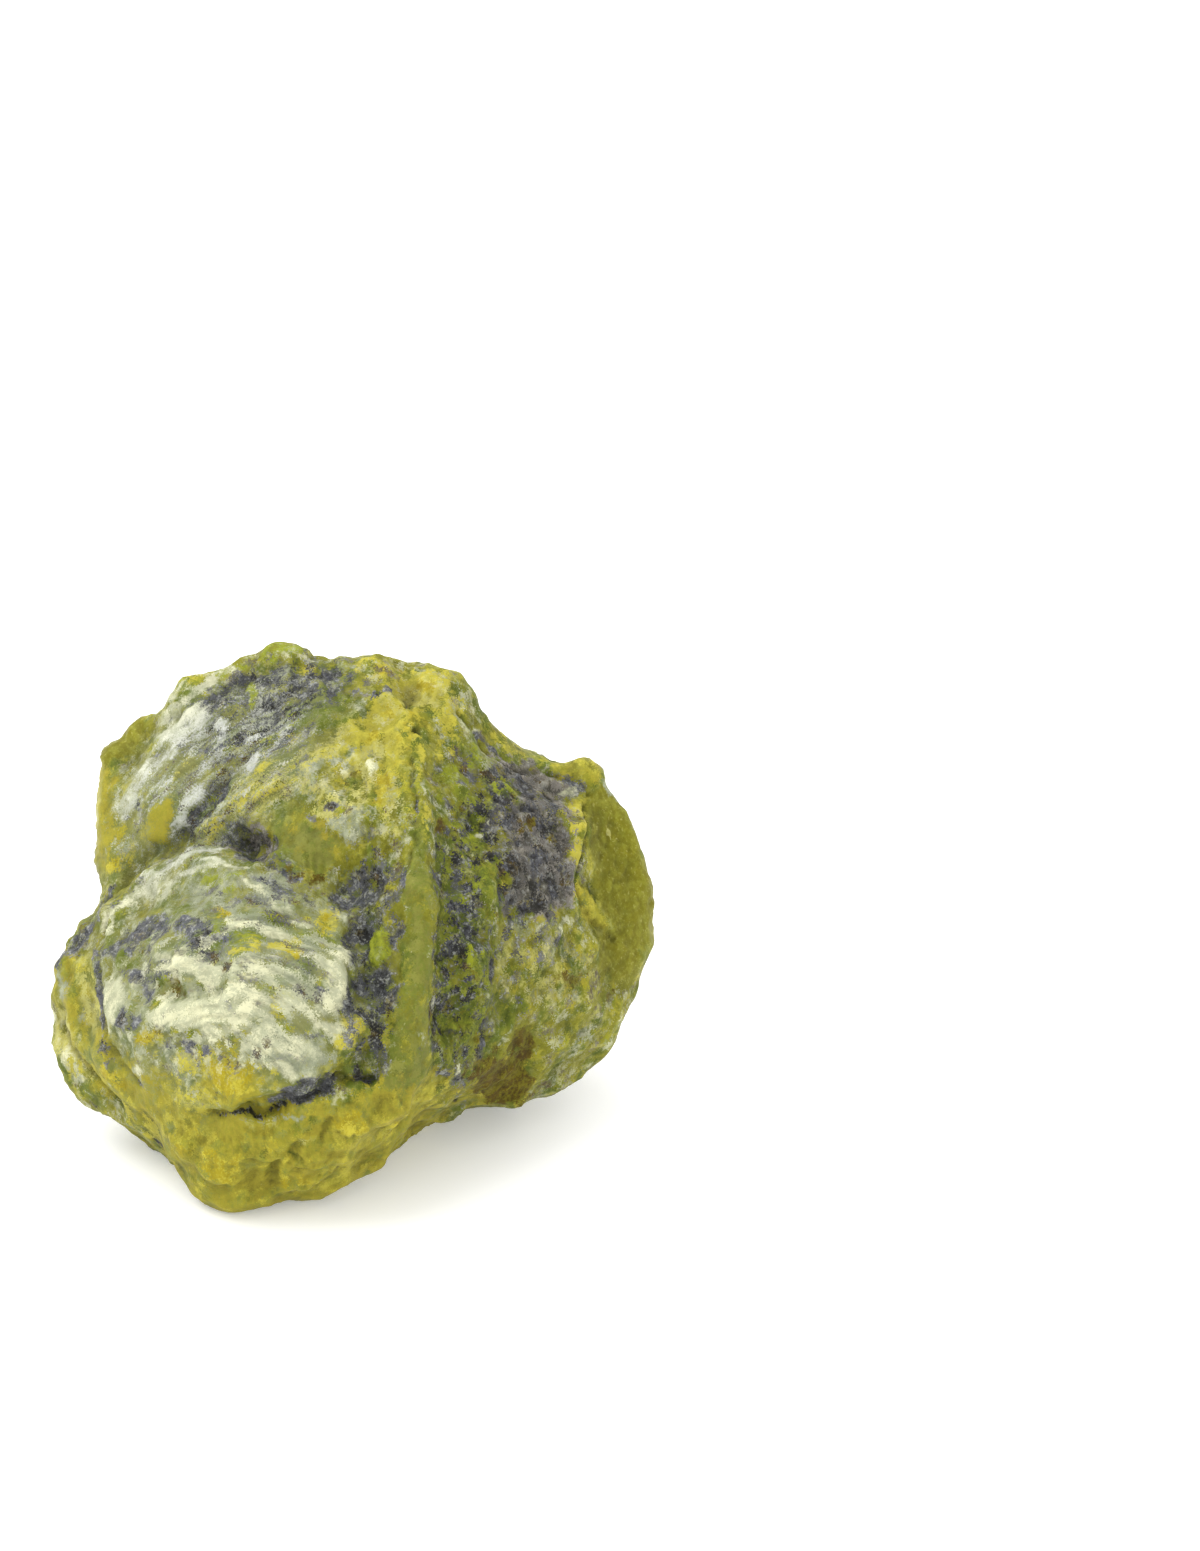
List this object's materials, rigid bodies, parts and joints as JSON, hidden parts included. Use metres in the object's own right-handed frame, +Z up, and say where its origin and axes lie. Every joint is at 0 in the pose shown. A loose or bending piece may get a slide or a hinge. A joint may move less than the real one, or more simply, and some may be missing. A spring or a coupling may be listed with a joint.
{
  "type": "serpentine rock",
  "caption": "Rough, unpolished lump of serpentine rock, domed in front with a central ridge, resting on a small flat underneath.",
  "frame": {"origin": "on the table, under the middle of the rock's bounding box", "axes": "+Z up from the resting flat, +X to the right as the rock is shown, -Y towards the viewer, who sees the domed front"},
  "size_m": [0.061, 0.0478, 0.0459],
  "materials": {
    "serpentine": "rough broken serpentine, waxy yellow-green, mottled with dark grey and chalky white"
  },
  "bodies": {
    "root": {"serpentine_rock": "serpentine"}
  },
  "joints": []
}
